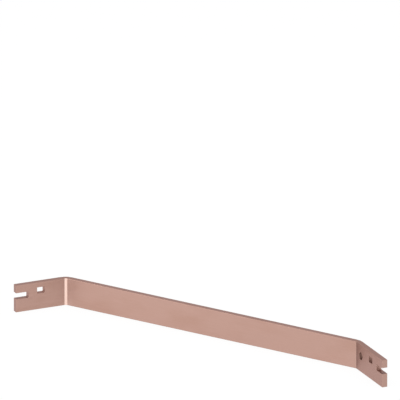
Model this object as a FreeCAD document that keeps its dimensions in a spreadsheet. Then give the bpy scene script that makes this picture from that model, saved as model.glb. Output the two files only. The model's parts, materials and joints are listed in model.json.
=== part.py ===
import FreeCAD, Part
import math
import os
import Sketcher

# A flat copper bar that stands on its long edge and is bent twice the same way.
# Lengths in mm, angles in degrees. The left landing runs along X and the right landing along Y,
# square to each other, and the straight run joins them at a slant.
SIZES = [
    ("bar_width", 50.0, "height of the standing bar"),
    ("bar_thickness", 10.0, "thickness of the bar"),
    ("edge_radius", 0.8, "rounding of the drawn bar's four long edges"),
    ("bend_radius", 5.0, "radius of the inner face at both bends"),
    ("run_length", 605.0, "inner corner to inner corner"),
    ("run_angle", 57.5, "turn from the left landing into the run"),
    ("left_landing", 96.0, "inner corner to the left end"),
    ("right_landing", 107.0, "inner corner to the right end"),
    ("slot_width", 11.0, "open slot in each end"),
    ("slot_depth", 24.0, "end face to the bottom of the slot"),
    ("slot_height", 30.0, "lower edge to the middle of the slot"),
    ("window_length", 14.5, "oblong hole, along the bar"),
    ("window_width", 11.0, "oblong hole, across the bar"),
    ("window_reach", 48.0, "end face to the middle of the oblong hole"),
    ("window_height", 35.0, "lower edge to the middle of the oblong hole"),
    ("cut_corner", 1.0, "inside corner radius of slots and oblong holes"),
    ("edge_break", 0.4, "rounding of the deburred rims of ends, slots and holes"),
    ("hole_diameter", 13.5, "round bolt hole of the right landing"),
    ("hole_reach", 88.0, "end face to the middle of the bolt hole"),
    ("hole_height", 29.0, "lower edge to the middle of the bolt hole"),
    ("overshoot", 5.0, "how far a slot's cut reaches past the end face"),
]
DERIVED = [
    ("corner_x", "=run_length * cos(run_angle * 1deg)", "second inner corner from the first, along X"),
    ("corner_y", "=run_length * sin(run_angle * 1deg)", "second inner corner from the first, along -Y"),
    ("tangent_reach", "=bend_radius * tan(run_angle * 0.5deg)", "first inner corner to the bend's start"),
    ("tangent_drop", "=bend_radius * tan(45deg - run_angle * 0.5deg)", "second inner corner to bend's end"),
    ("middle_radius", "=bend_radius + bar_thickness / 2", "radius of the middle line at both bends"),
    ("reach_y", "=corner_y + right_landing", "first inner corner to the right end, along -Y"),
]
SIZE = {alias: value for alias, value, words in SIZES}
SHARP_TURN = 30.0  # faces that meet at more than this angle leave a rim to deburr
LEAST_CUT = 1.0  # a cut that removes less than this volume, in mm3, has missed the bar


def sheet_of(doc):
    """Put every size in a sheet cell with an alias, and the derived lengths below them."""
    sheet = doc.addObject("Spreadsheet::Sheet", "sizes")
    for row, (alias, value, words) in enumerate(SIZES + DERIVED, start=1):
        sheet.set(f"A{row}", words)
        sheet.set(f"B{row}", str(value))
        sheet.setAlias(f"B{row}", alias)
    doc.recompute()
    return sheet


def sketch_on(body, name, role):
    """Start a sketch on one of the body's own origin planes."""
    sketch = body.newObject("Sketcher::SketchObject", name)
    plane = next(item for item in body.Origin.OriginFeatures if item.Role == role)
    sketch.AttachmentSupport = [(plane, "")]
    sketch.MapMode = "FlatFace"
    return sketch


def drive(sketch, kind, where, name, formula, value):
    """Add a named dimension and bind it to a formula over the sheet."""
    index = sketch.addConstraint(Sketcher.Constraint(kind, *where, value))
    sketch.renameConstraint(index, name)
    sketch.setExpression(f"Constraints.{name}", formula)


def point(x, y):
    """A place on a sketch's plane."""
    return FreeCAD.Vector(x, y, 0)


def arc(x, y, radius, start, end):
    """Counter-clockwise arc about (x, y) between two angles in degrees."""
    circle = Part.Circle(point(x, y), FreeCAD.Vector(0, 0, 1), radius)
    return Part.ArcOfCircle(circle, math.radians(start), math.radians(end))


def rounded_window(sketch, tag, box, radius, formulas):
    """Draw a rectangle with round corners and drive its two sides, two sizes and corner radius.

    box is (x0, y0, x1, y1); formulas hold side_x, side_y, size_x, size_y and radius. side_x is the distance
    from the sketch's origin to the side of the window that is nearer to it, and so is side_y.
    """
    x0, y0, x1, y1 = box
    r = radius
    first = sketch.GeometryCount
    bottom, right, top, left = range(first, first + 4)
    sketch.addGeometry(Part.LineSegment(point(x0 + r, y0), point(x1 - r, y0)))
    sketch.addGeometry(Part.LineSegment(point(x1, y0 + r), point(x1, y1 - r)))
    sketch.addGeometry(Part.LineSegment(point(x1 - r, y1), point(x0 + r, y1)))
    sketch.addGeometry(Part.LineSegment(point(x0, y1 - r), point(x0, y0 + r)))
    corners = [
        (x1 - r, y0 + r, 270, 360), (x1 - r, y1 - r, 0, 90),
        (x0 + r, y1 - r, 90, 180), (x0 + r, y0 + r, 180, 270)]
    arcs = [sketch.addGeometry(arc(x, y, r, start, end)) for x, y, start, end in corners]
    sides = [bottom, right, top, left]
    for place, side in enumerate(sides):
        ahead = sides[(place + 1) % 4]
        sketch.addConstraint(Sketcher.Constraint("Tangent", side, 2, arcs[place], 1))
        sketch.addConstraint(Sketcher.Constraint("Tangent", arcs[place], 2, ahead, 1))
    for side, kind in ((bottom, "Horizontal"), (left, "Vertical")):
        sketch.addConstraint(Sketcher.Constraint(kind, side))
    for other in arcs[1:]:
        sketch.addConstraint(Sketcher.Constraint("Equal", arcs[0], other))
    drive(sketch, "Radius", (arcs[0],), f"{tag}_radius", formulas["radius"], r)
    drive(sketch, "DistanceX", (left, 1, right, 1), f"{tag}_size_x", formulas["size_x"], x1 - x0)
    drive(sketch, "DistanceY", (bottom, 1, top, 1), f"{tag}_size_y", formulas["size_y"], y1 - y0)
    if x1 > 0:
        drive(sketch, "DistanceX", (-1, 1, left, 1), f"{tag}_side_x", formulas["side_x"], x0)
    else:
        drive(sketch, "DistanceX", (right, 1, -1, 1), f"{tag}_side_x", formulas["side_x"], -x1)
    drive(sketch, "DistanceY", (-1, 1, bottom, 1), f"{tag}_side_y", formulas["side_y"], y0)


def bar_section(body):
    """The bar's section at its left end: a standing rectangle with the drawn bar's round edges."""
    sketch = sketch_on(body, "bar_section", "YZ_Plane")
    sketch.setExpression("AttachmentOffset.Base.z", "-sizes.left_landing")
    section = (0.0, 0.0, SIZE["bar_thickness"], SIZE["bar_width"])
    rounded_window(sketch, "bar", section, SIZE["edge_radius"], {
        "side_x": "0", "side_y": "0", "size_x": "sizes.bar_thickness", "size_y": "sizes.bar_width",
        "radius": "sizes.edge_radius"})
    return sketch


def bar_path(body):
    """The middle line of the bar on the floor plane: left landing, bend, run, bend, right landing."""
    sketch = sketch_on(body, "bar_path", "XY_Plane")
    half, inner, turn = SIZE["bar_thickness"] / 2, SIZE["bend_radius"], SIZE["run_angle"]
    middle = inner + half
    run_x, run_y = math.cos(math.radians(turn)), -math.sin(math.radians(turn))
    corner = point(SIZE["run_length"] * run_x, SIZE["run_length"] * run_y)
    reach_one = inner * math.tan(math.radians(turn / 2))
    reach_two = inner * math.tan(math.radians((90 - turn) / 2))
    centre_one = point(-reach_one, -inner)
    centre_two = point(corner.x - inner, corner.y - reach_two)
    outward = point(-run_y, run_x)
    start = point(-SIZE["left_landing"], half)
    finish = point(corner.x + half, corner.y - SIZE["right_landing"])
    left = sketch.addGeometry(Part.LineSegment(start, point(centre_one.x, half)))
    run = sketch.addGeometry(Part.LineSegment(centre_one + outward * middle, centre_two + outward * middle))
    right = sketch.addGeometry(Part.LineSegment(point(finish.x, centre_two.y), finish))
    one = sketch.addGeometry(arc(centre_one.x, centre_one.y, middle, 90 - turn, 90))
    two = sketch.addGeometry(arc(centre_two.x, centre_two.y, middle, 0, 90 - turn))
    for ends in ((left, 2, one, 2), (one, 1, run, 1), (run, 2, two, 2), (two, 1, right, 1)):
        sketch.addConstraint(Sketcher.Constraint("Tangent", *ends))
    sketch.addConstraint(Sketcher.Constraint("Horizontal", left))
    sketch.addConstraint(Sketcher.Constraint("Vertical", right))
    sketch.addConstraint(Sketcher.Constraint("Equal", one, two))
    drive(sketch, "Radius", (one,), "middle_radius", "sizes.middle_radius", middle)
    drive(sketch, "DistanceY", (-1, 1, left, 1), "left_offset", "sizes.bar_thickness / 2", half)
    drive(sketch, "DistanceX", (left, 1, -1, 1), "left_reach", "sizes.left_landing", -start.x)
    drive(sketch, "DistanceX", (one, 3, -1, 1), "bend_reach", "sizes.tangent_reach", reach_one)
    middle_x = "sizes.corner_x + sizes.bar_thickness / 2"
    centre_y = "sizes.corner_y + sizes.tangent_drop"
    drive(sketch, "DistanceX", (-1, 1, right, 2), "right_offset", middle_x, finish.x)
    drive(sketch, "DistanceY", (right, 2, -1, 1), "right_reach", "sizes.reach_y", -finish.y)
    drive(sketch, "DistanceY", (two, 3, -1, 1), "bend_drop", centre_y, -centre_two.y)
    return sketch


def end_cuts(sketch, end, end_formula):
    """Draw the open slot and the oblong hole of a landing whose end face lies at -end along X."""
    over, corner = SIZE["overshoot"], SIZE["cut_corner"]
    depth, width, height = SIZE["slot_depth"], SIZE["slot_width"], SIZE["slot_height"]
    slot = (-end - over, height - width / 2, -end + depth, height + width / 2)
    rounded_window(sketch, "slot", slot, corner, {
        "side_x": f"{end_formula} - sizes.slot_depth",
        "side_y": "sizes.slot_height - sizes.slot_width / 2",
        "size_x": "sizes.slot_depth + sizes.overshoot", "size_y": "sizes.slot_width",
        "radius": "sizes.cut_corner"})
    long, wide, reach, middle = (SIZE[f"window_{word}"] for word in ("length", "width", "reach", "height"))
    along = -end + reach
    window = (along - long / 2, middle - wide / 2, along + long / 2, middle + wide / 2)
    rounded_window(sketch, "window", window, corner, {
        "side_x": f"{end_formula} - sizes.window_reach - sizes.window_length / 2",
        "side_y": "sizes.window_height - sizes.window_width / 2",
        "size_x": "sizes.window_length", "size_y": "sizes.window_width", "radius": "sizes.cut_corner"})


def left_cuts(body):
    """Slot and oblong hole of the left landing, drawn on the plane of its inner face."""
    sketch = sketch_on(body, "left_cuts", "XZ_Plane")
    end_cuts(sketch, SIZE["left_landing"], "sizes.left_landing")
    return sketch


def right_cuts(body):
    """Slot, oblong hole and round bolt hole of the right landing, drawn on the plane square to it."""
    sketch = sketch_on(body, "right_cuts", "YZ_Plane")
    end = SIZE["run_length"] * math.sin(math.radians(SIZE["run_angle"])) + SIZE["right_landing"]
    end_cuts(sketch, end, "sizes.reach_y")
    reach = end - SIZE["hole_reach"]
    radius = SIZE["hole_diameter"] / 2
    circle = Part.Circle(point(-reach, SIZE["hole_height"]), FreeCAD.Vector(0, 0, 1), radius)
    hole = sketch.addGeometry(circle)
    drive(sketch, "Radius", (hole,), "hole_radius", "sizes.hole_diameter / 2", radius)
    drive(sketch, "DistanceX", (hole, 3, -1, 1), "hole_x", "sizes.reach_y - sizes.hole_reach", reach)
    drive(sketch, "DistanceY", (-1, 1, hole, 3), "hole_y", "sizes.hole_height", SIZE["hole_height"])
    return sketch


def cut_through(doc, body, sketch, name, before):
    """Cut a sketch's outlines through one landing, on whichever side of the sketch the landing lies."""
    pocket = body.newObject("PartDesign::Pocket", name)
    pocket.Profile = sketch
    pocket.Type = "ThroughAll"
    doc.recompute()
    if not pocket.Shape.isValid() or before - pocket.Shape.Volume < LEAST_CUT:
        pocket.Reversed = True
        doc.recompute()
    if before - pocket.Shape.Volume < LEAST_CUT:
        raise RuntimeError(f"{name} removes nothing")
    return pocket


def sharp_edges(shape):
    """Names of the edges at which two faces meet at an angle, which are the rims that the cuts leave."""
    names = []
    for number, edge in enumerate(shape.Edges, start=1):
        middle = edge.valueAt((edge.FirstParameter + edge.LastParameter) / 2)
        faces = shape.ancestorsOfType(edge, Part.Face)
        normals = [face.normalAt(*face.Surface.parameter(middle)) for face in faces]
        if len(normals) == 2 and normals[0].getAngle(normals[1]) > math.radians(SHARP_TURN):
            names.append(f"Edge{number}")
    return names


def busbar_elbow(doc):
    """The bent bar: its section swept along its middle line, the two landings cut, the rims deburred."""
    body = doc.addObject("PartDesign::Body", "busbar_elbow")
    body.Label = "busbar_elbow"
    path = bar_path(body)
    section = bar_section(body)
    doc.recompute()
    bar = body.newObject("PartDesign::AdditivePipe", "bent_bar")
    bar.Profile = section
    bar.Spine = (path, [])
    doc.recompute()
    left = cut_through(doc, body, left_cuts(body), "left_landing_cuts", bar.Shape.Volume)
    right = cut_through(doc, body, right_cuts(body), "right_landing_cuts", left.Shape.Volume)
    rims = body.newObject("PartDesign::Fillet", "deburred_rims")
    rims.Base = (right, sharp_edges(right.Shape))
    rims.setExpression("Radius", "sizes.edge_break")
    doc.recompute()
    body.setExpression("Placement.Base.x", "(sizes.left_landing - sizes.corner_x - sizes.bar_thickness) / 2")
    body.setExpression("Placement.Base.y", "(sizes.reach_y - sizes.bar_thickness) / 2")
    doc.recompute()
    return body


def checked(doc):
    """Stop when any object failed to recompute or any solid is missing or not valid."""
    for item in doc.Objects:
        if any(word in item.State for word in ("Invalid", "Error")):
            raise RuntimeError(f"{item.Name}: {item.State}")
        shape = getattr(item, "Shape", None)
        if item.isDerivedFrom("PartDesign::Feature") and (shape.isNull() or not shape.isValid()):
            raise RuntimeError(f"{item.Name}: shape is not valid")


def main():
    """Build the bar, check every object of the document and write the solid."""
    doc = FreeCAD.newDocument("busbar_elbow")
    sheet_of(doc)
    body = busbar_elbow(doc)
    checked(doc)
    os.makedirs("parts", exist_ok=True)
    body.Shape.exportStep(f"parts/{body.Label}.step")
    box = body.Shape.optimalBoundingBox()
    print(f"{body.Label}: volume {body.Shape.Volume / 1000:.2f} cm3, solids {len(body.Shape.Solids)}")
    print(f"box {box.XMin:.2f} {box.XMax:.2f} {box.YMin:.2f} {box.YMax:.2f} {box.ZMin:.2f} {box.ZMax:.2f}")


main()
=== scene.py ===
"""A bent copper connection bar on a pale studio floor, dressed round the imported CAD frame.

The bar is worked out flat first, as lengths along its middle line, offsets from its middle plane
and heights, and is then bent as a whole along a plan of straights and arcs. All lengths are in
metres.
"""
import json
import logging
import math
from collections.abc import Mapping, Sequence
from dataclasses import dataclass, field
from enum import Enum
from typing import Any

import bpy
import numpy as np
from mathutils import Matrix, Vector


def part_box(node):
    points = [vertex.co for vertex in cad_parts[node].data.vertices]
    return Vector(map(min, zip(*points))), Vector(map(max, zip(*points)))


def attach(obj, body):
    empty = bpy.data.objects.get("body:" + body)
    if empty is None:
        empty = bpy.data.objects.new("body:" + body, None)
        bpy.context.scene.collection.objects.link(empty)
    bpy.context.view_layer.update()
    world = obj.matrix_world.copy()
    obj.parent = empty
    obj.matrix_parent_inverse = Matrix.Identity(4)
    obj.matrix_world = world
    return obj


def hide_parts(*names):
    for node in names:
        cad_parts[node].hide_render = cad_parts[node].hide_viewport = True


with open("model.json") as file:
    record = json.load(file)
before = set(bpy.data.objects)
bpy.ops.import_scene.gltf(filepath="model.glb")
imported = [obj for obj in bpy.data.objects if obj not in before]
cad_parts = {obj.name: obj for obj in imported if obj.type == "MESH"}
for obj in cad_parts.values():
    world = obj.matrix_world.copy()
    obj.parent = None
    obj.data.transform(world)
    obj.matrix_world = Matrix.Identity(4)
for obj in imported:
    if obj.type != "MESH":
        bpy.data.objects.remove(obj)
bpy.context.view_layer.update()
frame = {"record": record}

LOG = logging.getLogger("connection_bar")
MM = 0.001
QUARTER_TURN = math.pi / 2
EIGHTH_TURN = math.pi / 4

# Names in the frame and its record: the bar's node and body, and mounts that place cuts.
CAD_NODE = "busbar_elbow"
BODY = "root"
CUT_MOUNTS = ("left_slot", "left_window", "bolt_hole")

# The mesh attribute with each point's place on the flat bar.
FLAT_PLACE = "flat_place"

# Points that agree to this many decimals of a metre are one, and slopes are taken over this step.
SAME_PLACE_DECIMALS = 8
NUDGE = 1e-6

# Socket numbers of a Mix node that mixes colours, and the middle of a noise.
MIX_SHARE, MIX_COLOURS, MIX_RESULT = 0, (6, 7), 2
NOISE_MIDDLE = 0.5

Pair = tuple[float, float]
Triple = tuple[float, float, float]


class Side(Enum):
    """A side of an opening: the way its border runs and the way out, as (along, up) pairs."""

    BELOW = ((1.0, 0.0), (0.0, -1.0))
    AHEAD = ((0.0, 1.0), (1.0, 0.0))
    ABOVE = ((-1.0, 0.0), (0.0, 1.0))
    BEHIND = ((0.0, -1.0), (-1.0, 0.0))

    @property
    def run(self) -> np.ndarray:
        """The way the border runs, anticlockwise round the opening."""
        return np.array(self.value[0])

    @property
    def out(self) -> np.ndarray:
        """The way from the opening into the metal."""
        return np.array(self.value[1])

    def border(self, lengths: np.ndarray, heights: np.ndarray) -> np.ndarray:
        """Points of this side of a block of bar, in the order in which the side runs.

        Args:
            lengths: rising lengths along the bar, from one end of the block to the other.
            heights: rising heights, from the lower border of the face to the upper one.

        Returns:
            Rows of (length, height).
        """
        level = self.run[0] != 0.0
        moving = lengths if level else heights
        moving = moving if self.run.sum() > 0 else moving[::-1]
        fixed = heights if level else lengths
        still = np.full_like(moving, fixed[-1] if self.out.sum() > 0 else fixed[0])
        return np.stack((moving, still) if level else (still, moving), axis=-1)


class End(Enum):
    """An end of the bar, with the sides that its open slot has there, in running order."""

    LEFT = (Side.BELOW, Side.AHEAD, Side.ABOVE)
    RIGHT = (Side.ABOVE, Side.BEHIND, Side.BELOW)

    @property
    def outward(self) -> float:
        """Sign of the way out of the bar along its length."""
        return -1.0 if self is End.LEFT else 1.0


class Mark(Enum):
    """What the mesh tells its finish about each point, from 0 to 1, by the attribute's name."""

    MILLED = "milled_mark"
    PUNCHED = "punched_mark"
    # Painted shade in the feet of cuts and in the gentler bend, and darker paint on the prongs'
    # ends.
    GRIME = "grime_mark"
    RIM = "rim_mark"
    STRETCH = "stretch_mark"
    # A painted highlight inside the bends, strongest in the sharper one.
    RUB = "rub_mark"


class Grain(Enum):
    """A noise on the bar's flat places.

    Each value holds the grains per metre along the bar, through it and up it, the layers of finer
    grain, and the strength of each layer as a share of the one before.
    """

    CLOUDS = ((9.0, 36.0, 26.0), 4.0, 0.55)
    LINES = ((5.0, 1100.0, 1100.0), 3.0, 0.6)
    SCRATCHES = ((26.0, 2600.0, 2600.0), 2.0, 0.5)
    PITS = ((900.0, 900.0, 900.0), 2.0, 0.5)
    TOOL_MARKS = ((1500.0, 70.0, 1500.0), 2.0, 0.5)
    STREAKS = ((1400.0, 1400.0, 45.0), 3.0, 0.5)


@dataclass(frozen=True)
class Opening:
    """A cut through the bar: a rectangle with round corners, or a circle if they take it all up.

    Attributes:
        along: length along the bar at the opening's middle.
        height: height of its middle.
        half_length: half its size along the bar.
        half_height: half its size upwards.
        corner: radius of its corners.
        grime: how strong the painted shade is at its foot, from 0 to 1, at its ends and its middle.
    """

    along: float
    height: float
    half_length: float
    half_height: float
    corner: float
    grime: Pair

    def meet(self, side: Side, border: np.ndarray) -> tuple[np.ndarray, np.ndarray]:
        """Points of the opening's rim that lie across from the points of a border.

        A border point opposite the straight part of the rim meets it squarely. Beyond that, its
        share of the way to the block's corner is its share of the eighth turn of the rim's round
        corner.

        Args:
            side: the side of the opening that the border faces.
            border: rows of (length, height) along that side.

        Returns:
            The rim's points and the directions into the metal there, as rows of (length, height).
        """
        middle = np.array((self.along, self.height))
        flat_half = np.array((self.half_length, self.half_height)) - self.corner
        straight = flat_half @ np.abs(side.run)
        reach = flat_half @ np.abs(side.out)
        across = (border - middle) @ side.run
        limit = np.where(across < 0.0, -across.min(), across.max())
        share = np.clip((np.abs(across) - straight) / (limit - straight), 0.0, 1.0)
        turn = share * EIGHTH_TURN * np.sign(across)
        away = np.outer(np.sin(turn), side.run) + np.outer(np.cos(turn), side.out)
        flat = np.outer(np.clip(across, -straight, straight), side.run) + reach * side.out
        return middle + flat + self.corner * away, away


@dataclass(frozen=True)
class Outline:
    """A line across the bar: points and facings as (offset, height), and a mark for rounding."""

    place: np.ndarray
    facing: np.ndarray
    rim: np.ndarray

    def turned(self) -> "Outline":
        """The same line run the other way."""
        return Outline(self.place[::-1], self.facing[::-1], self.rim[::-1])

    @staticmethod
    def ring(*lines: "Outline") -> "Outline":
        """Lines that meet end to end as one closed ring, with each shared point kept once."""
        columns = zip(*((line.place, line.facing, line.rim) for line in lines))
        return Outline(*(end_to_end(column, closed=True) for column in columns))

    def signed_area(self) -> float:
        """Area inside the closed line, positive where it runs anticlockwise, offsets rightwards."""
        ahead = np.roll(self.place, -1, axis=0)
        return 0.5 * float(np.sum(self.place[:, 0] * ahead[:, 1] - ahead[:, 0] * self.place[:, 1]))


@dataclass(frozen=True)
class CutProfile:
    """The way across a cut in steps: over the inner face, through the bar and over the outer face.

    Attributes:
        share: share of the way from the block's border to the cut's rim.
        inset: distance from the cut's wall, into the metal.
        offset: offset from the bar's middle plane.
        sink: how squarely the skin faces into the opening: 0 on the faces, 1 on the wall.
        outward: how squarely it faces out of the bar: -1 on the inner face, 1 on the outer one.
        rim: 1 at the middle of a rim's rounding, 0 elsewhere.
    """

    share: np.ndarray
    inset: np.ndarray
    offset: np.ndarray
    sink: np.ndarray
    outward: np.ndarray
    rim: np.ndarray


@dataclass(frozen=True)
class Patch:
    """A stretch of the bar's skin, still flat.

    Attributes:
        place: points as rows of (length, offset, height).
        facing: the way that the skin faces at each point.
        marks: the marks that it bears, at each point.
        quads: point numbers of its four-sided faces, outwards.
        lid: point numbers of a flat lid, outwards, or nothing.
    """

    place: np.ndarray
    facing: np.ndarray
    marks: Mapping[Mark, np.ndarray]
    quads: np.ndarray
    lid: np.ndarray

    def mark(self, mark: Mark) -> np.ndarray:
        """One mark at each point, 0 where the patch doesn't bear it."""
        return self.marks.get(mark, np.zeros(len(self.place)))

    @classmethod
    def grid(
        cls,
        place: np.ndarray,
        facing: np.ndarray,
        marks: Mapping[Mark, np.ndarray],
        round_first: bool = False,
        round_second: bool = False,
        lidded: bool = False,
    ) -> "Patch":
        """A patch over a grid of two parameters, whose cells are its faces.

        Args:
            place: points, first parameter by second parameter by 3.
            facing: facings of the same shape.
            marks: marks that fit the grid's first two axes.
            round_first: whether the first parameter closes on itself.
            round_second: whether the second parameter closes on itself.
            lidded: whether the last line of the second parameter is closed by a flat lid.

        Returns:
            The patch.
        """
        shape = place.shape[:2]
        number = np.arange(shape[0] * shape[1]).reshape(shape)
        lid = number[:, -1] if lidded else number[:0, 0]
        if round_first:
            number = np.concatenate((number, number[:1]))
        if round_second:
            number = np.concatenate((number, number[:, :1]), axis=1)
        near, far = number[:-1], number[1:]
        quads = np.stack((near[:, :-1], far[:, :-1], far[:, 1:], near[:, 1:]), axis=-1)
        return cls(
            place.reshape(-1, 3),
            facing.reshape(-1, 3),
            {mark: np.broadcast_to(values, shape).reshape(-1) for mark, values in marks.items()},
            quads.reshape(-1, 4),
            lid,
        )


@dataclass(frozen=True)
class Skin:
    """The whole skin, still flat: points, facings and marks as in a patch, faces of any size."""

    place: np.ndarray
    facing: np.ndarray
    marks: dict[Mark, np.ndarray]
    faces: list[list[int]]

    @classmethod
    def joined(cls, patches: Sequence[Patch]) -> "Skin":
        """Joins patches at the points that they share.

        Args:
            patches: patches that meet point to point.

        Returns:
            Their skin, with each place kept once and no point twice in a face.
        """
        starts = np.cumsum([0] + [len(patch.place) for patch in patches])
        place = np.concatenate([patch.place for patch in patches])
        facing = np.concatenate([patch.facing for patch in patches])
        rounded = place.round(SAME_PLACE_DECIMALS)
        _, kept, number = np.unique(rounded, axis=0, return_index=True, return_inverse=True)
        number = number.reshape(-1)
        marks = {
            mark: np.concatenate([patch.mark(mark) for patch in patches])[kept] for mark in Mark
        }
        quads = np.concatenate([patch.quads + start for patch, start in zip(patches, starts)])
        lids = [patch.lid + start for patch, start in zip(patches, starts) if len(patch.lid)]
        faces = number[quads].tolist() + [number[lid].tolist() for lid in lids]
        return cls(place[kept], facing[kept], marks, [list(dict.fromkeys(face)) for face in faces])


@dataclass(frozen=True)
class BarPath:
    """Middle line of the bar in plan: three straights and, between them, two bends to the right.

    Attributes:
        start: where the line begins, as (x, y); it sets out along +X.
        straights: lengths of the three straights.
        turns: angles of the two bends.
        radius: radius of the middle line in the bends.
    """

    start: Pair
    straights: Triple
    turns: Pair
    radius: float

    @property
    def stations(self) -> np.ndarray:
        """Where the line's stretches meet.

        Returns:
            The lengths at which the five stretches begin, and the whole length last.
        """
        first, middle, last = self.straights
        sharper, gentler = (turn * self.radius for turn in self.turns)
        return np.cumsum((0.0, first, sharper, middle, gentler, last))

    @property
    def bends(self) -> np.ndarray:
        """Lengths at which each bend begins and ends, as two rows."""
        return self.stations[1:5].reshape(2, 2)

    def carry(self, place: np.ndarray, facing: np.ndarray) -> tuple[np.ndarray, np.ndarray]:
        """Bends flat points along the line.

        Each stretch adds its own share of a point's length: a straight adds it in its heading, and
        an arc adds the chord of the angle turned so far. The offset goes square to the heading,
        outwards.

        Args:
            place: rows of (length, offset, height).
            facing: rows of flat facings.

        Returns:
            Rows of (x, y, z) for the points and for the facings.
        """
        lengths, offsets, heights = place.T
        edges = zip(self.stations[:-1], self.stations[1:])
        gone = [np.clip(lengths - low, 0.0, high - low) for low, high in edges]
        one, two = gone[1] / self.radius, gone[3] / self.radius
        turn, whole = self.turns[0], sum(self.turns)
        cosine, sine = np.cos(one + two), np.sin(one + two)
        arcs_ahead = np.sin(one) + np.sin(turn + two) - math.sin(turn)
        arcs_aside = 1.0 - np.cos(one) + math.cos(turn) - np.cos(turn + two)
        x = self.start[0] + gone[0] + gone[2] * math.cos(turn) + gone[4] * math.cos(whole)
        y = self.start[1] - gone[2] * math.sin(turn) - gone[4] * math.sin(whole)
        x = x + self.radius * arcs_ahead + offsets * sine
        y = y - self.radius * arcs_aside + offsets * cosine
        ahead, outward, up = facing.T
        faced = (ahead * cosine + outward * sine, outward * cosine - ahead * sine, up)
        return np.stack((x, y, heights), axis=-1), np.stack(faced, axis=-1)


def stepped(marks: Sequence[float], counts: Sequence[int]) -> np.ndarray:
    """Rising values that pass through marks, with each count of equal steps between two of them.

    Args:
        marks: the values to pass through.
        counts: steps between each mark and the next.

    Returns:
        The values, each mark once.
    """
    stretches = zip(marks[:-1], marks[1:], counts)
    runs = [np.linspace(low, high, count, endpoint=False) for low, high, count in stretches]
    return np.concatenate((*runs, marks[-1:]))


def mirrored(
    values: np.ndarray, sign: float = 1.0, middle: np.ndarray | None = None
) -> np.ndarray:
    """Values, a middle stretch if there is one, and the values backwards, times a sign.

    Args:
        values: the values up to the middle.
        sign: what the values are times on their way back.
        middle: the stretch between.

    Returns:
        The whole row.
    """
    between = values[:0] if middle is None else middle
    return np.concatenate((values, between, sign * values[::-1]))


def end_to_end(lines: Sequence[np.ndarray], closed: bool) -> np.ndarray:
    """Lines whose ends meet, as one line with each shared point kept once.

    Args:
        lines: rows of values, each line's last row the next one's first.
        closed: whether the last line ends where the first begins.

    Returns:
        The rows of the whole line.
    """
    rows = np.concatenate([line[:-1] for line in lines])
    return rows if closed else np.concatenate((rows, lines[-1][-1:]))


def placed(name: str, data: bpy.types.ID) -> bpy.types.Object:
    """A new object of the scene, at the origin.

    Args:
        name: its name.
        data: its mesh, lamp or camera.

    Returns:
        The object.
    """
    made = bpy.data.objects.new(name, data)
    bpy.context.scene.collection.objects.link(made)
    return made


def facing_matrix(azimuth: float, elevation: float, distance: float) -> Matrix:
    """Pose of a camera or lamp that stands off from the origin and looks at it, with its top up.

    Args:
        azimuth: degrees round the bar from -Y towards +X.
        elevation: degrees above the horizon.
        distance: how far off it stands.

    Returns:
        The pose.
    """
    round_it, above = math.radians(azimuth), math.radians(elevation)
    level = math.cos(above)
    back = Vector((math.sin(round_it) * level, -math.cos(round_it) * level, math.sin(above)))
    right = Vector((0.0, 0.0, 1.0)).cross(back).normalized()
    pose = Matrix((right, back.cross(right), back)).transposed().to_4x4()
    pose.translation = back * distance
    return pose


class Wire:
    """A shader socket in an expression: arithmetic on it adds Math nodes to its graph."""

    def __init__(self, graph: "FinishGraph", socket: bpy.types.NodeSocket | None) -> None:
        """Wraps an output socket of a graph."""
        self.graph = graph
        self.socket = socket

    def _math(self, operation: str, first: "Wire | float", second: "Wire | float") -> "Wire":
        """A Math node on two values."""
        return self.graph.add("ShaderNodeMath", {"operation": operation}, {0: first, 1: second})

    def __add__(self, other: "Wire | float") -> "Wire":
        """Sum."""
        return self._math("ADD", self, other)

    def __radd__(self, other: float) -> "Wire":
        """Sum, number first."""
        return self._math("ADD", other, self)

    def __sub__(self, other: "Wire | float") -> "Wire":
        """Difference."""
        return self._math("SUBTRACT", self, other)

    def __rsub__(self, other: float) -> "Wire":
        """Difference, number first."""
        return self._math("SUBTRACT", other, self)

    def __mul__(self, other: "Wire | float") -> "Wire":
        """Product."""
        return self._math("MULTIPLY", self, other)

    def __rmul__(self, other: float) -> "Wire":
        """Product, number first."""
        return self._math("MULTIPLY", other, self)

    def swing(self, width: float) -> "Wire":
        """How far a noise lies from its middle of a half, times a width."""
        return (self - NOISE_MIDDLE) * width

    def between(self, low: float, high: float) -> "Wire":
        """0 below the low value, 1 above the high one and a smooth step from one to the other."""
        sockets = {"Value": self, "From Min": low, "From Max": high}
        return self.graph.add("ShaderNodeMapRange", {"interpolation_type": "SMOOTHSTEP"}, sockets)


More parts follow.
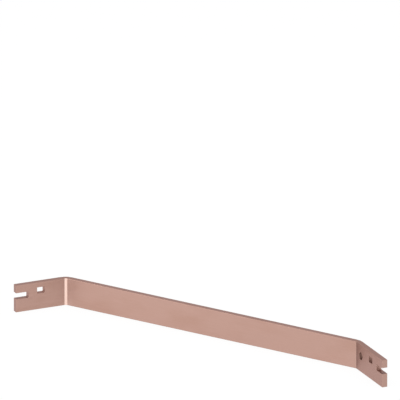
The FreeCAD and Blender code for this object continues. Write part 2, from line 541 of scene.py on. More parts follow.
class FinishGraph:
    """The node graph of a material or of the world."""

    def __init__(self, owner: bpy.types.Material | bpy.types.World) -> None:
        """Takes over the graph of its owner, emptied.

        Args:
            owner: the material or world.
        """
        owner.use_nodes = True
        self.tree = owner.node_tree
        self.tree.nodes.clear()

    def add(
        self,
        kind: str,
        settings: Mapping[str, Any] | None = None,
        sockets: Mapping[str | int, Any] | None = None,
        output: str | int = 0,
    ) -> Wire:
        """Adds one node.

        Args:
            kind: the node's type.
            settings: the node's own properties, set first.
            sockets: values or wires for its inputs, by name or number.
            output: the output that is handed on.

        Returns:
            The wire from that output.
        """
        node = self.tree.nodes.new(kind)
        for name, value in (settings or {}).items():
            setattr(node, name, value)
        for name, value in (sockets or {}).items():
            if isinstance(value, Wire):
                self.tree.links.new(value.socket, node.inputs[name])
            else:
                node.inputs[name].default_value = value
        return Wire(self, node.outputs[output] if len(node.outputs) else None)

    def attribute(self, name: str, output: str = "Fac") -> Wire:
        """An attribute that the mesh carries at its points."""
        return self.add("ShaderNodeAttribute", {"attribute_name": name}, output=output)

    def noise(self, vector: Wire, scales: Triple, detail: float, gain: float) -> Wire:
        """Noise of about 0 to 1 whose grain is stretched by its own scale along each axis.

        Args:
            vector: the place it is read at.
            scales: grains per metre along each axis.
            detail: layers of finer grain.
            gain: strength of each layer, as a share of the one before.

        Returns:
            The noise.
        """
        vectors = {0: vector, 1: scales}
        spread = self.add("ShaderNodeVectorMath", {"operation": "MULTIPLY"}, vectors)
        sockets = {"Vector": spread, "Scale": 1.0, "Detail": detail, "Roughness": gain}
        return self.add("ShaderNodeTexNoise", {"noise_dimensions": "3D"}, sockets)

    def mix(self, share: Wire, first: Wire | Triple, second: Triple) -> Wire:
        """A colour between two colours.

        Args:
            share: how much of the second one there is.
            first: the colour at a share of 0.
            second: the colour at a share of 1.

        Returns:
            The colour.
        """
        start = first if isinstance(first, Wire) else (*first, 1.0)
        sockets = {MIX_SHARE: share, MIX_COLOURS[0]: start, MIX_COLOURS[1]: (*second, 1.0)}
        return self.add("ShaderNodeMix", {"data_type": "RGBA"}, sockets, output=MIX_RESULT)

    def bump(self, height: Wire, depth: float, under: Wire | None = None) -> Wire:
        """A surface relief, on top of another one.

        Args:
            height: its height, about 0 to 1.
            depth: the depth that a height of 1 stands for.
            under: the relief under it.

        Returns:
            The bumped normal.
        """
        sockets: dict[str, Any] = {"Height": height, "Distance": depth, "Strength": 1.0}
        if under is not None:
            sockets["Normal"] = under
        return self.add("ShaderNodeBump", {}, sockets)


class CopperNodes:
    """What a copper finish reads at each point of the bar, as wires of its material's graph."""

    def __init__(self, graph: FinishGraph) -> None:
        """Reads the mesh's marks, and lays noises over its flat places, so that they turn with it.

        Args:
            graph: the material's graph.
        """
        flat = graph.attribute(FLAT_PLACE, "Vector")
        self.graph = graph
        self.marks = {mark: graph.attribute(mark.value) for mark in Mark}
        self.noises = {grain: graph.noise(flat, *grain.value) for grain in Grain}
        self.cut = self.marks[Mark.MILLED] + self.marks[Mark.PUNCHED]


@dataclass(frozen=True)
class Coat:
    """A colour over the drawn copper, where the mesh bears a mark.

    Attributes:
        mark: the mark that it follows.
        colour: its colour.
        grain: the noise that thickens and thins it.
        share: how much of it lies on a full mark at the noise's middle.
        swing: how far that share goes with the noise.
        edges: shares at which it begins and is full, or nothing where it fades evenly.
        rougher: how much rougher the copper is at a full mark.
    """

    mark: Mark
    colour: Triple
    grain: Grain
    share: float
    swing: float
    edges: Pair | None = None
    rougher: float = 0.0

    def thickness(self, nodes: CopperNodes) -> Wire:
        """The mark times the share that follows the noise, in a smooth step where it has edges."""
        laid = nodes.marks[self.mark] * (self.share + nodes.noises[self.grain].swing(self.swing))
        return laid.between(*self.edges) if self.edges else laid


@dataclass(frozen=True)
class CopperFinish:
    """Bare drawn copper: satin, with fine lines along it and clouds of tarnish, under its coats.

    Attributes:
        body: colour of the drawn faces.
        tarnish: colour where the air has dulled them.
        edge_tint: share of each colour kept at grazing angles.
        cloud_edges: noise at which a cloud of tarnish begins and is full.
        cloud_tarnish: how tarnished a full cloud is.
        line_tarnish: how far tarnish goes with the drawn lines.
        scratch_tarnish: how far it goes with the scratches.
        satin: roughness of the drawn faces.
        cloud_rough: how far roughness goes with the clouds.
        line_rough: how far it goes with the drawn lines and with the scratches.
        tool_rough: how far it goes with the tool marks in cuts.
        stretch_rough: how much rougher the stretched side of a bend is.
        line_depth: depth of the drawn lines.
        line_share: share of the drawn lines in that relief; the rest is scratches.
        tool_depth: depth of the tool marks.
        peel_depth: depth of the pits where a bend has stretched the bar.
        coats: worn edges, a painted highlight inside the bends, milled cuts, punched walls, and
            painted shade in the cuts' feet, in the gentler bend and on the prongs' ends.
    """

    body: Triple = (0.508, 0.317, 0.264)
    tarnish: Triple = (0.446, 0.264, 0.208)
    edge_tint: Triple = (0.58, 0.56, 0.62)
    cloud_edges: Pair = (0.42, 0.72)
    cloud_tarnish: float = 0.5
    line_tarnish: float = 0.35
    scratch_tarnish: float = 0.6
    satin: float = 0.42
    cloud_rough: float = 0.12
    line_rough: float = 0.24
    tool_rough: float = 0.3
    stretch_rough: float = 0.06
    line_depth: float = 0.10 * MM
    line_share: float = 0.7
    tool_depth: float = 0.12 * MM
    peel_depth: float = 0.12 * MM
    coats: tuple[Coat, ...] = (
        Coat(Mark.RIM, (0.590, 0.380, 0.320), Grain.PITS, 0.18, 0.5, rougher=0.12),
        # Painted highlight: a pale copper colour laid inside the bends and on the run beside the
        # sharper one.
        Coat(
            Mark.RUB, (0.950, 0.685, 0.592), Grain.STREAKS, 1.0, 0.9, (0.06, 0.66), rougher=-0.12
        ),
        Coat(Mark.MILLED, (0.530, 0.340, 0.285), Grain.TOOL_MARKS, 0.6, 0.6),
        Coat(Mark.PUNCHED, (0.560, 0.350, 0.292), Grain.TOOL_MARKS, 0.75, 0.5, rougher=0.14),
        # Painted shade: a dark colour in the feet of cuts, in the gentler bend and on the prongs'
        # ends.
        Coat(Mark.GRIME, (0.100, 0.055, 0.042), Grain.PITS, 0.7, 0.6),
    )

    def colour(self, nodes: CopperNodes) -> Wire:
        """Drawn copper dulled by clouds, lines and scratches, with the coats laid over it in turn.

        Args:
            nodes: what the finish reads.

        Returns:
            The base colour.
        """
        dull = nodes.noises[Grain.CLOUDS].between(*self.cloud_edges) * self.cloud_tarnish
        dull = dull + nodes.noises[Grain.LINES].swing(self.line_tarnish)
        dull = dull + nodes.noises[Grain.SCRATCHES].swing(self.scratch_tarnish)
        colour = nodes.graph.mix(dull, self.body, self.tarnish)
        for coat in self.coats:
            colour = nodes.graph.mix(coat.thickness(nodes), colour, coat.colour)
        return colour

    def roughness(self, nodes: CopperNodes) -> Wire:
        """Satin that goes with the noises of drawn faces and cuts, and with the coats' marks.

        Args:
            nodes: what the finish reads.

        Returns:
            The roughness.
        """
        rough = self.satin + nodes.noises[Grain.CLOUDS].swing(self.cloud_rough)
        rough = rough + nodes.noises[Grain.LINES].swing(self.line_rough)
        rough = rough + nodes.noises[Grain.SCRATCHES].swing(self.line_rough)
        rough = rough + nodes.cut * nodes.noises[Grain.TOOL_MARKS].swing(self.tool_rough)
        rough = rough + nodes.marks[Mark.STRETCH] * self.stretch_rough
        for coat in self.coats:
            if coat.rougher:
                rough = rough + nodes.marks[coat.mark] * coat.rougher
        return rough

    def relief(self, nodes: CopperNodes) -> Wire:
        """Drawn lines and scratches on the faces, tool marks in the cuts, pits on stretched bends.

        Args:
            nodes: what the finish reads.

        Returns:
            The bumped normal.
        """
        noises, bump = nodes.noises, nodes.graph.bump
        lines = noises[Grain.LINES] * self.line_share
        lines = lines + noises[Grain.SCRATCHES] * (1.0 - self.line_share)
        drawn = bump(lines * (1.0 - nodes.cut), self.line_depth)
        tooled = bump(noises[Grain.TOOL_MARKS] * nodes.cut, self.tool_depth, drawn)
        return bump(noises[Grain.PITS] * nodes.marks[Mark.STRETCH], self.peel_depth, tooled)

    def material(self) -> bpy.types.Material:
        """Builds the finish as a metal.

        Returns:
            The material.
        """
        made = bpy.data.materials.new("drawn_copper")
        nodes = CopperNodes(FinishGraph(made))
        sockets = {
            "Base Color": self.colour(nodes),
            "Metallic": 1.0,
            "Roughness": self.roughness(nodes),
            "Specular Tint": (*self.edge_tint, 1.0),
            "Normal": self.relief(nodes),
        }
        shader = nodes.graph.add("ShaderNodeBsdfPrincipled", {}, sockets)
        nodes.graph.add("ShaderNodeOutputMaterial", {}, {"Surface": shader})
        return made


@dataclass(frozen=True)
class ConnectionBar:
    """The whole part: one flat copper bar on edge, bent at two places, with cuts in both landings.

    Attributes:
        low: lowest corner of the CAD box.
        high: highest corner of the CAD box.
        slot_height: height of the slots' middle.
        window_reach: distance of the oblong holes' middle from the bar's end.
        window_height: height of the oblong holes' middle.
        hole_radius: radius of the round hole.
        hole_reach: distance of the round hole from the right end.
        hole_height: height of the round hole's middle.
        thickness: thickness of the bar.
        edge_radius: rounding of its long edges.
        bend_radius: radius of the inner face in the bends.
        left_landing: length of the left landing's inner face to the fold.
        right_landing: length of the right landing's inner face to the fold.
        slot_width: width of the open slots.
        slot_depth: depth of the open slots.
        window_length: size of the oblong holes along the bar.
        window_width: size of the oblong holes upwards.
        corner: corner radius of slots and oblong holes.
        edge_break: rounding of the rims of all cuts and of the ends.
        slot_shade: how strong the painted shade is in the foot of each end's slot, from 0 to 1, at
            the slot's end and at its mouth.
        window_shade: how strong it is in the foot of each end's oblong hole, at the hole's ends
            and at its middle.
        hole_shade: how strong it is in the foot of the round hole, in the same way.
        tip_darkening: how much darker the prongs' ends are painted.
        crease_shade: how strong the painted shade is in the gentler bend, on the landing's side.
        crease_shade_fade: length of the landing over which that thins to a third.
        draw_in: how far the long edges draw in on the stretched side of a bend.
        draw_fade: height over which that fades.
        draw_reach: length beside a bend over which that fades.
        painted_highlight_reach: how far beside a bend the painted highlight on its inside reaches.
        painted_highlight_tail: how strong the painted highlight still is on the run beside the
            sharper bend.
        painted_highlight_fade: length of the run over which that fades to a third.
        height_steps: faces up the bar.
        corner_steps: faces round an edge.
        wall_steps: faces through a cut's wall.
        flat_steps: faces between a block's border and a cut's rim.
        block_steps: faces along a block with a slot or an oblong hole.
        hole_steps: faces along the block with the round hole.
        plain_steps: faces along each stretch of the plain middle: landings, bends, run and fades.
    """

    low: Vector
    high: Vector
    slot_height: float
    window_reach: float
    window_height: float
    hole_radius: float
    hole_reach: float
    hole_height: float
    thickness: float = 10.0 * MM
    edge_radius: float = 0.8 * MM
    bend_radius: float = 5.0 * MM
    left_landing: float = 96.0 * MM
    right_landing: float = 107.0 * MM
    slot_width: float = 11.0 * MM
    slot_depth: float = 24.0 * MM
    window_length: float = 14.5 * MM
    window_width: float = 11.0 * MM
    corner: float = 1.0 * MM
    edge_break: float = 0.4 * MM
    slot_shade: Mapping[End, Pair] = field(
        default_factory=lambda: {End.LEFT: (0.20, 0.20), End.RIGHT: (0.0, 0.6)}
    )
    window_shade: Mapping[End, Pair] = field(
        default_factory=lambda: {End.LEFT: (0.0, 0.0), End.RIGHT: (0.45, 0.45)}
    )
    hole_shade: Pair = (1.0, 1.0)
    tip_darkening: float = 0.12
    crease_shade: float = 0.36
    crease_shade_fade: float = 9.0 * MM
    draw_in: float = 0.4 * MM
    draw_fade: float = 6.0 * MM
    draw_reach: float = 4.5 * MM
    painted_highlight_reach: float = 1.6 * MM
    painted_highlight_tail: float = 0.19
    painted_highlight_fade: float = 16.0 * MM
    height_steps: int = 18
    corner_steps: int = 5
    wall_steps: int = 6
    flat_steps: int = 4
    block_steps: int = 14
    hole_steps: int = 18
    plain_steps: tuple[int, ...] = (4, 5, 16, 5, 40, 5, 12, 5, 1)

    @classmethod
    def in_box(
        cls, low: Vector, high: Vector, mounts: Sequence[Mapping[str, Any]]
    ) -> "ConnectionBar":
        """A bar that fills the CAD box, with its cuts where the record's mounts put them.

        Args:
            low: lowest corner of the box.
            high: highest corner of the box.
            mounts: the record's mounts.

        Returns:
            The bar.
        """
        named = {mount["name"]: mount for mount in mounts}
        slot, window, hole = (Vector(named[name]["pos_m"]) - low for name in CUT_MOUNTS)
        return cls(
            low,
            high,
            slot_height=slot.z,
            window_reach=window.x,
            window_height=window.z,
            hole_radius=named[CUT_MOUNTS[-1]]["dims"]["r_mm"] * MM,
            hole_reach=hole.y,
            hole_height=hole.z,
        )

    @property
    def width(self) -> float:
        """Width of the bar, which is its height as it stands on edge."""
        return self.high.z - self.low.z

    @property
    def heights(self) -> np.ndarray:
        """Heights at which the faces of the bar are divided, between its rounded edges."""
        return np.linspace(self.edge_radius, self.width - self.edge_radius, self.height_steps + 1)

    @property
    def quarter(self) -> np.ndarray:
        """Angles of a quarter turn round an edge."""
        return np.linspace(0.0, QUARTER_TURN, self.corner_steps + 1)

    @property
    def path(self) -> BarPath:
        """The middle line, from the CAD box and the landings.

        The run goes from one inner fold to the other, and each fold takes the bend radius times
        the tangent of half its turn off the straights beside it.

        Returns:
            The path.
        """
        across = self.high.x - self.low.x - self.left_landing - self.thickness
        down = self.high.y - self.low.y - self.right_landing - self.thickness
        first = math.atan2(down, across)
        second = QUARTER_TURN - first
        used = [self.bend_radius * math.tan(turn / 2) for turn in (first, second)]
        run = math.hypot(across, down) - sum(used)
        straights = (self.left_landing - used[0], run, self.right_landing - used[1])
        start = (self.low.x, self.high.y - self.thickness / 2)
        return BarPath(start, straights, (first, second), self.bend_radius + self.thickness / 2)

    def slot(self, end: End) -> Opening:
        """The open slot of one end, whose far half lies outside the bar.

        Args:
            end: which end.

        Returns:
            The slot.
        """
        along = 0.0 if end is End.LEFT else self.path.stations[-1]
        halves = (self.slot_depth, self.slot_width / 2)
        return Opening(along, self.slot_height, *halves, self.corner, self.slot_shade[end])

    def window(self, end: End) -> Opening:
        """The oblong hole of one end.

        Args:
            end: which end.

        Returns:
            The hole.
        """
        reach = self.window_reach
        along = reach if end is End.LEFT else self.path.stations[-1] - reach
        halves = (self.window_length / 2, self.window_width / 2)
        return Opening(along, self.window_height, *halves, self.corner, self.window_shade[end])

    def bolt_hole(self) -> Opening:
        """The round hole beside the right fold."""
        along = self.path.stations[-1] - self.hole_reach
        return Opening(along, self.hole_height, *(self.hole_radius,) * 3, self.hole_shade)

    def upper_edge(self) -> Outline:
        """The upper long edge from the inner face to the outer: quarter turn, flat, quarter turn.

        Returns:
            Its line across the bar.
        """
        swing = self.quarter
        offset = self.edge_radius * (1.0 - np.cos(swing)) - self.thickness / 2
        height = self.width - self.edge_radius * (1.0 - np.sin(swing))
        place = np.stack((mirrored(offset, -1.0), mirrored(height)), axis=-1)
        facing = np.stack((mirrored(-np.cos(swing), -1.0), mirrored(np.sin(swing))), axis=-1)
        return Outline(place, facing, mirrored(np.sin(2.0 * swing)))

    def lower_edge(self) -> Outline:
        """The lower long edge, from the outer face to the inner one: the upper one turned over.

        Returns:
            Its line across the bar.
        """
        upper = self.upper_edge().turned()
        place = np.stack((upper.place[:, 0], self.width - upper.place[:, 1]), axis=-1)
        return Outline(place, upper.facing * (1.0, -1.0), upper.rim)

    def face(self, outward: float) -> Outline:
        """One wide face, run upwards on the inner side and downwards on the outer one.

        Args:
            outward: -1 for the inner face, 1 for the outer one.

        Returns:
            Its line across the bar.
        """
        heights = self.heights if outward < 0 else self.heights[::-1]
        place = np.stack((np.full_like(heights, outward * self.thickness / 2), heights), axis=-1)
        return Outline(place, np.broadcast_to((outward, 0.0), place.shape), np.zeros_like(heights))

    def section(self) -> Outline:
        """The closed section: inner face, upper edge, outer face, lower edge."""
        return Outline.ring(self.face(-1.0), self.upper_edge(), self.face(1.0), self.lower_edge())

    def swept(self, lengths: np.ndarray, line: Outline, closed: bool = False) -> Patch:
        """A line across the bar carried along it.

        Args:
            lengths: lengths along the bar.
            line: the line across it.
            closed: whether the line is a ring.

        Returns:
            The skin that the line sweeps.
        """
        shape = (len(lengths), len(line.rim))
        along = np.broadcast_to(lengths[:, None], shape)
        offset, height = (np.broadcast_to(values, shape) for values in line.place.T)
        outward, up = (np.broadcast_to(values, shape) for values in line.facing.T)
        place = np.stack((along, offset, height), axis=-1)
        facing = np.stack((np.zeros(shape), outward, up), axis=-1)
        return Patch.grid(place, facing, {Mark.RIM: line.rim[None, :]}, round_second=closed)

    def cut_profile(self) -> CutProfile:
        """The way across a cut: over a face to the rim, a quarter turn, the wall, and that back.

        Returns:
            The steps of the way.
        """
        swing = self.quarter
        half = self.thickness / 2
        out = np.linspace(0.0, 1.0, self.flat_steps, endpoint=False)
        lean = np.concatenate((np.zeros_like(out), swing))
        deep = half - self.edge_break
        wall = np.linspace(-deep, deep, self.wall_steps + 1)[1:-1]
        none, full = np.zeros_like(wall), np.ones_like(wall)
        return CutProfile(
            share=mirrored(np.concatenate((out, np.ones_like(swing))), 1.0, full),
            inset=mirrored(self.edge_break * (1.0 - np.sin(lean)), 1.0, none),
            offset=mirrored(self.edge_break * (1.0 - np.cos(lean)) - half, -1.0, wall),
            sink=mirrored(np.sin(lean), 1.0, full),
            outward=mirrored(-np.cos(lean), -1.0, none),
            rim=mirrored(np.sin(2.0 * lean), 1.0, none),
        )

    def cut_grid(
        self, opening: Opening, sides: Sequence[Side], lengths: np.ndarray
    ) -> tuple[np.ndarray, np.ndarray, dict[Mark, np.ndarray]]:
        """Skin round an opening as a grid: once round it, by the way across it.

        On the faces a point's share of the way goes evenly from the block's border to the opening's
        rim. The painted shade goes evenly from what the opening's ends have to what its middle has,
        which is a slot's mouth, and thins evenly from the foot of the opening to its top.

        Args:
            opening: the opening.
            sides: the sides of it that have metal, in running order.
            lengths: lengths along the bar at which the block is divided.

        Returns:
            Places, facings and marks over the grid.
        """
        closed = len(sides) == len(Side)
        borders = [side.border(lengths, self.heights) for side in sides]
        rims, aways = zip(*(opening.meet(side, border) for side, border in zip(sides, borders)))
        lines = (end_to_end(pieces, closed) for pieces in (borders, rims, aways))
        border, rim, away = (line[:, None, :] for line in lines)
        way = self.cut_profile()
        share, inset, sink = (values[None, :, None] for values in (way.share, way.inset, way.sink))
        flat = border * (1.0 - share) + (rim + away * inset) * share
        inward = -away * sink
        shape = flat.shape[:2]
        offset, outward = (np.broadcast_to(values, shape) for values in (way.offset, way.outward))
        place = np.stack((flat[..., 0], offset, flat[..., 1]), axis=-1)
        facing = np.stack((inward[..., 0], outward, inward[..., 1]), axis=-1)
        wall = np.broadcast_to(way.sink**2, shape)
        # Painted shade at the foot of the opening: strongest at its bottom, gone at its top, on the
        # wall.
        below = (opening.height - rim[..., 1]) / (2.0 * opening.half_height) + 0.5
        from_middle = np.abs(rim[..., 0] - opening.along) / opening.half_length
        grime = np.interp(from_middle, (0.0, 1.0), opening.grime[::-1]) * np.clip(below, 0.0, 1.0)
        marks = {
            Mark.PUNCHED if closed else Mark.MILLED: wall,
            Mark.GRIME: grime * wall,
            Mark.RIM: np.broadcast_to(way.rim, shape),
        }
        return place, facing, marks

    def long_edges(self, lengths: np.ndarray) -> list[Patch]:
        """Both long edges beside a block that has an opening."""
        return [self.swept(lengths, line) for line in (self.upper_edge(), self.lower_edge())]

    def holed_block(self, opening: Opening, low: float, high: float, steps: int) -> list[Patch]:
        """A block of bar round a hole: its two faces with the hole's wall, and its long edges.

        Args:
            opening: the hole.
            low: length along the bar at which the block begins.
            high: length at which it ends.
            steps: faces along it.

        Returns:
            The patches of the block.
        """
        lengths = np.linspace(low, high, steps + 1)
        grid = self.cut_grid(opening, tuple(Side), lengths)
        return [Patch.grid(*grid, round_first=True), *self.long_edges(lengths)]

    def slotted_end(self, end: End, border: float) -> list[Patch]:
        """An end of the bar with its open slot and the caps of its two prongs.

        Args:
            end: which end.
            border: length along the bar at which the end begins, seen from the middle.

        Returns:
            The patches of the end.
        """
        slot = self.slot(end)
        tip = slot.along - end.outward * self.edge_break
        lengths = np.linspace(*sorted((border, tip)), self.block_steps + 1)
        grid = self.cut_grid(slot, end.value, lengths)
        place, facing, marks = grid
        caps = []
        edges = {Side.BELOW: self.lower_edge(), Side.ABOVE: self.upper_edge().turned()}
        for side, edge in edges.items():
            line = 0 if end.value[0] is side else -1
            wall = Outline(place[line][:, 1:], facing[line][:, 1:], marks[Mark.RIM][line])
            caps.append(self.prong_cap(Outline.ring(wall, edge), tip, end.outward))
        return [Patch.grid(*grid), *caps, *self.long_edges(lengths)]

    def prong_cap(self, loop: Outline, tip: float, outward: float) -> Patch:
        """The end of a prong: its outline drawn in round a quarter turn, and a flat lid.

        Args:
            loop: closed outline of the prong where the rounding starts.
            tip: length along the bar of that place.
            outward: sign of the way out of the bar.

        Returns:
            The cap.
        """
        loop = loop if loop.signed_area() * outward > 0 else loop.turned()
        sine, cosine = np.sin(self.quarter)[None, :, None], np.cos(self.quarter)[None, :, None]
        edge, faced = loop.place[:, None, :], loop.facing[:, None, :]
        shape = (len(loop.rim), len(self.quarter), 1)
        along = np.broadcast_to(tip + outward * self.edge_break * sine, shape)
        ahead = np.broadcast_to(outward * sine, shape)
        inside = edge - faced * self.edge_break * (1.0 - cosine)
        place = np.concatenate((along, inside), axis=-1)
        facing = np.concatenate((ahead, faced * cosine), axis=-1)
        rim = np.maximum(2.0 * sine * cosine, loop.rim[:, None, None] * cosine)
        ended = sine[..., 0] ** 2
        # The prongs' ends are painted darker, through the painted-shade mark.
        marks = {Mark.MILLED: ended, Mark.GRIME: self.tip_darkening * ended, Mark.RIM: rim[..., 0]}
        return Patch.grid(place, facing, marks, round_first=True, lidded=True)

    def patches(self) -> list[Patch]:
        """All of the bar's skin, end to end, in blocks that share their borders.

        Returns:
            The patches.
        """
        path = self.path
        whole = path.stations[-1]
        (left_in, left_out), (right_in, right_out) = path.bends
        half_window = self.window_length / 2
        slot_border = (self.slot_depth + self.window_reach - half_window) / 2
        window_border = self.window_reach + half_window + slot_border - self.slot_depth
        pitch_border = (self.window_reach + half_window + self.hole_reach - self.hole_radius) / 2
        fold_border = (self.hole_reach + self.hole_radius + whole - right_out) / 2
        borders = np.array((slot_border, pitch_border, fold_border))
        right_slot, right_pitch, right_fold = whole - borders
        fade = self.draw_reach
        left_marks = (window_border, left_in - fade, left_in, left_out, left_out + fade)
        right_marks = (right_in - fade, right_in, right_out, right_out + fade, right_fold)
        plain = stepped((*left_marks, *right_marks), self.plain_steps)
        return [
            *self.slotted_end(End.LEFT, slot_border),
            *self.holed_block(self.window(End.LEFT), slot_border, window_border, self.block_steps),
            self.swept(plain, self.section(), closed=True),
            *self.holed_block(self.bolt_hole(), right_fold, right_pitch, self.hole_steps),
            *self.holed_block(self.window(End.RIGHT), right_pitch, right_slot, self.block_steps),
            *self.slotted_end(End.RIGHT, right_slot),
        ]

    def bend_share(self, lengths: np.ndarray) -> np.ndarray:
        """1 inside a bend, fading as a squared cosine over the reach beside it, 0 elsewhere.

        Args:
            lengths: lengths along the bar.

        Returns:
            The share at each of them.
        """
        gaps = [np.maximum(low - lengths, lengths - high) for low, high in self.path.bends]
        near = np.clip(np.minimum(*gaps) / self.draw_reach, 0.0, 1.0)
        return np.cos(near * QUARTER_TURN) ** 2

    def stretch_share(self, place: np.ndarray) -> np.ndarray:
        """How far a bend has stretched flat points: it grows evenly from the middle plane out."""
        outwards = np.clip(place[:, 1] / (self.thickness / 2), 0.0, 1.0)
        return outwards * self.bend_share(place[:, 0])

    def painted_highlight_share(self, lengths: np.ndarray) -> np.ndarray:
        """How strong the painted highlight is on the inside of the bar, at the bends and along the
        run.

        Over each bend, and a little beside it, it is half a sine wave, as strong as the cube of
        the bend's share of the sharper turn. Along the run it fades from the sharper bend as half
        a bell curve.

        Args:
            lengths: lengths along the bar.

        Returns:
            The share at each of them.
        """
        path = self.path
        painted_spans = path.bends + (-self.painted_highlight_reach, self.painted_highlight_reach)
        ways = [np.clip((lengths - low) / (high - low), 0.0, 1.0) for low, high in painted_spans]
        forces = [(turn / max(path.turns)) ** 3 for turn in path.turns]
        waves = sum(np.sin(way * math.pi) * force for way, force in zip(ways, forces))
        # The painted highlight also lightens the run beside the sharper bend.
        past = lengths - path.bends[0, 1]
        tail = np.where(past < 0.0, 0.0, self.painted_highlight_tail * np.exp(-((past / self.painted_highlight_fade) ** 2)))
        return np.maximum(waves, tail)

    def crease_shade_share(self, lengths: np.ndarray) -> np.ndarray:
        """How strong the painted shade is in the gentler bend: it rises as a square and thins
        exponentially.

        Args:
            lengths: lengths along the bar.

        Returns:
            The share at each of them.
        """
        low, high = self.path.bends[1]
        rise = np.clip((lengths - low) / (high - low), 0.0, 1.0)
        past = np.maximum(lengths - high, 0.0)
        return self.crease_shade * rise**2 * np.exp(-past / self.crease_shade_fade)

    def stretch_and_painted_light_marks(self, skin: Skin) -> dict[Mark, np.ndarray]:
        """The marks of bending and painted light: stretch outside the bends, painted highlight and
        painted shade on the inner face.

        Args:
            skin: the bar's flat skin.

        Returns:
            Those marks at each point.
        """
        lengths = skin.place[:, 0]
        inner = np.clip(-skin.facing[:, 1], 0.0, 1.0) ** 2
        return {
            Mark.STRETCH: self.stretch_share(skin.place),
            # Painted highlight on the inner face.
            Mark.RUB: self.painted_highlight_share(lengths) * inner,
            # Painted shade in the gentler bend, on the inner face.
            Mark.GRIME: np.maximum(skin.marks[Mark.GRIME], self.crease_shade_share(lengths) * inner),
        }

    def lift(self, place: np.ndarray) -> np.ndarray:
        """How far points move up where a bend draws the long edges in.

        It goes with the stretch and falls off exponentially from each edge.

        Args:
            place: flat points.

        Returns:
            The move of each of them.
        """
        heights = place[:, 2]
        pull = np.exp(-heights / self.draw_fade) - np.exp((heights - self.width) / self.draw_fade)
        return self.draw_in * self.stretch_share(place) * pull

    def drawn_in(self, place: np.ndarray, facing: np.ndarray) -> tuple[np.ndarray, np.ndarray]:
        """Draws the long edges in at the bends, with facings turned by the slopes of the lift.

        Args:
            place: flat points.
            facing: flat facings.

        Returns:
            The moved points and turned facings.
        """
        steps = np.eye(3) * NUDGE
        rises = [self.lift(place + step) - self.lift(place - step) for step in steps]
        slope = np.stack(rises, axis=-1) / (2.0 * NUDGE)
        moved = place + self.lift(place)[:, None] * (0.0, 0.0, 1.0)
        turned = facing - slope * (facing[:, 2] / (1.0 + slope[:, 2]))[:, None]
        return moved, turned / np.linalg.norm(turned, axis=1, keepdims=True)

    def build(self) -> bpy.types.Object:
        """Makes the bar's mesh: joins its skin, draws its edges in and bends it along the path.

        Returns:
            The bar, with its flat places and marks as attributes.
        """
        skin = Skin.joined(self.patches())
        points, facings = self.path.carry(*self.drawn_in(skin.place, skin.facing))
        points[:, 2] += self.low.z
        mesh = bpy.data.meshes.new("copper_bar")
        mesh.from_pydata(points.tolist(), [], skin.faces)
        mesh.polygons.foreach_set("use_smooth", np.ones(len(skin.faces), dtype=bool))
        flat = mesh.attributes.new(FLAT_PLACE, "FLOAT_VECTOR", "POINT")
        flat.data.foreach_set("vector", skin.place.ravel())
        for mark, values in {**skin.marks, **self.stretch_and_painted_light_marks(skin)}.items():
            mesh.attributes.new(mark.value, "FLOAT", "POINT").data.foreach_set("value", values)
        mesh.update()
        mesh.normals_split_custom_set_from_vertices(facings.tolist())
        return placed("copper_bar", mesh)

    def dress(self, bar: bpy.types.Object, finish: CopperFinish) -> None:
        """Gives the bar its finish and its place in the frame.

        Args:
            bar: the bar's object.
            finish: its finish.
        """
        bar.data.materials.append(finish.material())
        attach(bar, BODY)
        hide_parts(CAD_NODE)


@dataclass(frozen=True)
class StudioFloor:
    """A pale floor that the camera and reflections see as white, with a faint soft shadow.

    Attributes:
        half_size: half the floor's side.
        gap: how far it lies below the bar, so that their faces don't coincide.
        paint: its colour.
        glow: share of plain white in what the camera and reflections see; the rest is lit paint.
    """

    half_size: float = 8.0
    gap: float = 0.05 * MM
    paint: Triple = (0.97, 0.97, 0.97)
    glow: float = 0.93

    def build(self, height: float) -> bpy.types.Object:
        """Makes the floor, a grid of two by two points.

        Args:
            height: the height that the bar stands on.

        Returns:
            The floor.
        """
        ends = np.array((-self.half_size, self.half_size))
        x, y = np.meshgrid(ends, ends)
        points = np.stack((x, y, np.full_like(x, height - self.gap)), axis=-1).reshape(-1, 3)
        corners_in_turn = (0, 1, 3, 2)
        mesh = bpy.data.meshes.new("studio_floor")
        mesh.from_pydata(points.tolist(), [], [corners_in_turn])
        mesh.update()
        mesh.materials.append(self.material())
        floor = placed("studio_floor", mesh)
        return floor

    def material(self) -> bpy.types.Material:
        """Paint that is mostly white of strength 1 to camera, glossy and transmission rays.

        Returns:
            The material.
        """
        made = bpy.data.materials.new("pale_floor")
        graph = FinishGraph(made)
        kinds = ("Is Camera Ray", "Is Glossy Ray", "Is Transmission Ray")
        camera, glossy, through = (graph.add("ShaderNodeLightPath", output=kind) for kind in kinds)
        seen = (camera + glossy + through).between(0.0, 1.0) * self.glow
        lit = graph.add("ShaderNodeBsdfDiffuse", {}, {"Color": (*self.paint, 1.0)})
        white = graph.add("ShaderNodeEmission", {}, {"Strength": 1.0})
        surface = graph.add("ShaderNodeMixShader", {}, {0: seen, 1: lit, 2: white})
        graph.add("ShaderNodeOutputMaterial", {}, {"Surface": surface})
        return made


@dataclass(frozen=True)
class StudioWorld:
    """Plain grey surroundings.

    Attributes:
        level: their brightness, where 1 is white.
    """

    level: float = 0.82

    def build(self) -> bpy.types.World:
        """Makes the surroundings and sets them.

        Returns:
            The world.
        """
        made = bpy.data.worlds.new("studio")
        graph = FinishGraph(made)
        grey = (self.level, self.level, self.level, 1.0)
        plain = graph.add("ShaderNodeBackground", {}, {"Color": grey, "Strength": 1.0})
        graph.add("ShaderNodeOutputWorld", {}, {"Surface": plain})
        bpy.context.scene.world = made
        return made


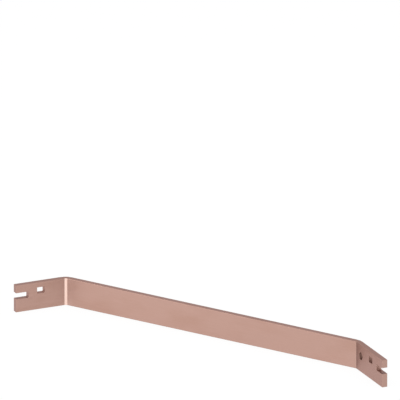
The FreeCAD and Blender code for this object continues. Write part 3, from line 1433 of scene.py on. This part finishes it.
@dataclass(frozen=True)
class SoftLamp:
    """A rectangular soft lamp.

    Attributes:
        name: its name.
        azimuth: where it stands round the bar, in degrees from -Y towards +X.
        elevation: its height above the horizon, in degrees.
        distance: its distance from the bar.
        size: its width and height.
        radiance: brightness of its face, where 1 is white.
        mirrored: whether metal mirrors it; otherwise it lights the floor alone.
    """

    name: str
    azimuth: float
    elevation: float
    distance: float
    size: Pair
    radiance: float
    mirrored: bool = True

    def build(self) -> bpy.types.Object:
        """Hangs the lamp, turned to the bar and unseen by the camera.

        Its power is the radiance times pi times its area.

        Returns:
            The lamp.
        """
        lamp = bpy.data.lights.new(self.name, "AREA")
        lamp.shape = "RECTANGLE"
        lamp.size, lamp.size_y = self.size
        lamp.energy = self.radiance * math.pi * self.size[0] * self.size[1]
        hung = placed(self.name, lamp)
        hung.matrix_world = facing_matrix(self.azimuth, self.elevation, self.distance)
        hung.visible_camera = False
        hung.visible_glossy = self.mirrored
        return hung


@dataclass(frozen=True)
class PhotoCamera:
    """A far camera with a long lens, which sees the bar low in its frame and almost in parallel.

    Attributes:
        azimuth: where it stands round the bar, in degrees from -Y towards +X.
        elevation: its height above the horizon, in degrees.
        distance: its distance.
        lens: focal length in millimetres, for a sensor of 36 mm.
        near: distance at which it begins to see.
        far: distance at which it stops seeing.
        aim_right: how far right of the frame's origin it points.
        aim_up: how far above the frame's origin it points.
    """

    azimuth: float = -24.47
    elevation: float = 19.265
    distance: float = 31.04
    lens: float = 1600.0
    near: float = 1.0
    far: float = 100.0
    aim_right: float = 0.0010
    aim_up: float = 0.2593

    def build(self) -> bpy.types.Object:
        """Sets up the camera as the scene's own.

        Returns:
            The camera.
        """
        data = bpy.data.cameras.new("photo_camera")
        data.lens = self.lens
        data.clip_start = self.near
        data.clip_end = self.far
        camera = placed("photo_camera", data)
        pose = facing_matrix(self.azimuth, self.elevation, self.distance)
        camera.matrix_world = pose @ Matrix.Translation((self.aim_right, self.aim_up, 0.0))
        bpy.context.scene.camera = camera
        return camera


LAMPS = (
    SoftLamp(
        "overhead",
        azimuth=0.0,
        elevation=85.0,
        distance=3.0,
        size=(4.0, 4.0),
        radiance=1.0,
        mirrored=False,
    ),
    SoftLamp(
        "left_panel",
        azimuth=-90.0,
        elevation=10.0,
        distance=3.0,
        size=(2.4, 1.02),
        radiance=2.6,
    ),
    SoftLamp(
        "low_front_strip",
        azimuth=-29.0,
        elevation=3.5,
        distance=1.3,
        size=(0.60, 0.14),
        radiance=6.0,
    ),
)


def main() -> None:
    """Builds the scene: bar, floor, surroundings, lamps and camera."""
    logging.basicConfig(level=logging.INFO, format="%(name)s: %(message)s")
    bpy.context.scene.view_settings.view_transform = "Standard"
    low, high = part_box(CAD_NODE)
    bar = ConnectionBar.in_box(low, high, frame["record"]["mounts"])
    piece = bar.build()
    bar.dress(piece, CopperFinish())
    counts = len(piece.data.vertices), len(piece.data.polygons)
    LOG.info("%s: %d points, %d faces", piece.name, *counts)
    floor = StudioFloor().build(low.z)
    LOG.info("%s at height %.5f", floor.name, low.z)
    LOG.info("%s lit", StudioWorld().build().name)
    for lamp in LAMPS:
        LOG.info("%s hung", lamp.build().name)
    LOG.info("%s set", PhotoCamera().build().name)


if __name__ == "__main__":
    main()
